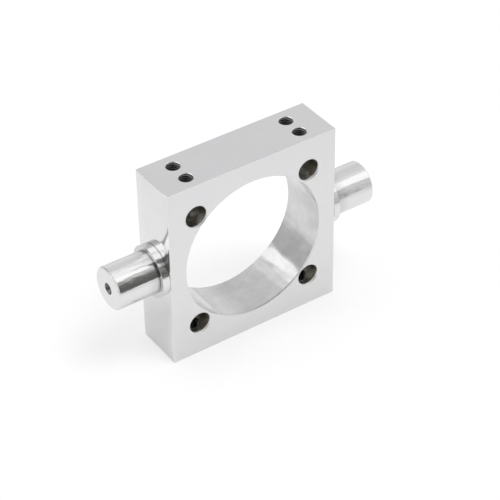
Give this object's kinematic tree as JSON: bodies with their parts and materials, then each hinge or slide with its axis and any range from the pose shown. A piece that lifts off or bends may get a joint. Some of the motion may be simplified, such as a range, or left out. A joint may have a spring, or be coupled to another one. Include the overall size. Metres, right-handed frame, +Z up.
{
  "type": "trunnion mount",
  "caption": "Square centre trunnion block with a large barrel bore, corner tie-rod holes, clamp-screw holes in its edges and a collared pin on each side, for pivoting a tie-rod cylinder.",
  "frame": {"origin": "where the axis of the trunnion pins crosses the axis of the barrel bore, at the middle of the block", "axes": "+X along the trunnion pins, +Y along the barrel bore, from the front face to the back face, +Z up; the block stands on its underside"},
  "size_m": [0.107, 0.0196, 0.0724],
  "materials": {
    "machined_steel": "milled block faces with a fine satin grain, turned and polished pins and collars"
  },
  "bodies": {
    "root": {"trunnion_body": "machined_steel"}
  },
  "joints": []
}
